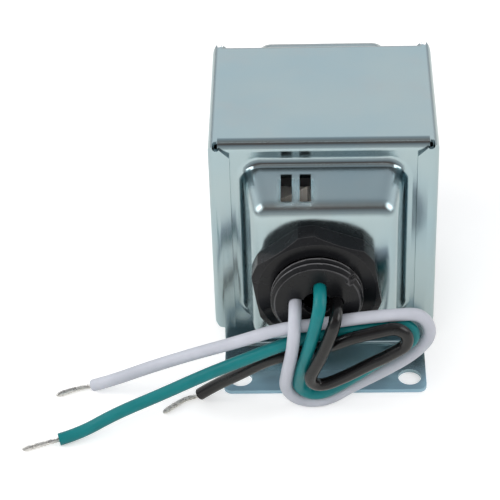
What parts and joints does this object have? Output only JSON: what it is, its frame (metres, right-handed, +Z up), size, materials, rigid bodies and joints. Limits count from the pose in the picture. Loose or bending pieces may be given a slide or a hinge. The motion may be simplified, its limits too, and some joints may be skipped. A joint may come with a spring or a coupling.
{
  "type": "chime transformer",
  "caption": "Hard-wired step-down transformer in a folded zinc-plated case, with a threaded nipple, three stripped leads and two screw terminals.",
  "frame": {"origin": "middle of the four foot holes, on the plane that the feet rest on", "axes": "+Z up; -Y out of the nipple with the leads; +X to the right when the nipple faces the viewer"},
  "size_m": [0.0985, 0.1025, 0.062],
  "materials": {
    "zinc_plate": "bright",
    "black_nylon": "satin",
    "white_insulation": "satin",
    "green_insulation": "satin",
    "black_insulation": "satin",
    "tinned_copper": "bright",
    "silicon_steel": "satin",
    "bobbin_nylon": "matte",
    "magnet_wire": "gloss",
    "kraft_paper": "matte",
    "yellow_tape": "gloss",
    "splice_vinyl": "satin",
    "screw_steel": "bright",
    "cutoff_case": "satin",
    "phenolic": "satin",
    "terminal_brass": "bright"
  },
  "bodies": {
    "root": {"case": "zinc_plate", "bottom_plate": "zinc_plate", "nipple": "black_nylon", "locknut": "black_nylon", "lead_white": "white_insulation", "lead_green": "green_insulation", "lead_black": "black_insulation", "tinned_end_white": "tinned_copper", "tinned_end_green": "tinned_copper", "tinned_end_black": "tinned_copper", "core_e_laminations": "silicon_steel", "core_i_laminations": "silicon_steel", "bobbin": "bobbin_nylon", "primary_winding": "magnet_wire", "winding_barrier": "kraft_paper", "secondary_winding": "magnet_wire", "coil_tape": "yellow_tape", "insulation_paper": "kraft_paper", "splice_white": "splice_vinyl", "splice_black": "splice_vinyl", "primary_wire_start": "magnet_wire", "primary_wire_finish": "magnet_wire", "ground_ring_terminal": "tinned_copper", "ground_screw": "screw_steel", "thermal_cutoff": "cutoff_case", "terminal_block": "phenolic", "terminal_plate_left": "terminal_brass", "terminal_plate_right": "terminal_brass", "terminal_screw_left": "screw_steel", "terminal_screw_right": "screw_steel", "secondary_wire_left": "magnet_wire", "secondary_wire_right": "magnet_wire"}
  },
  "joints": []
}
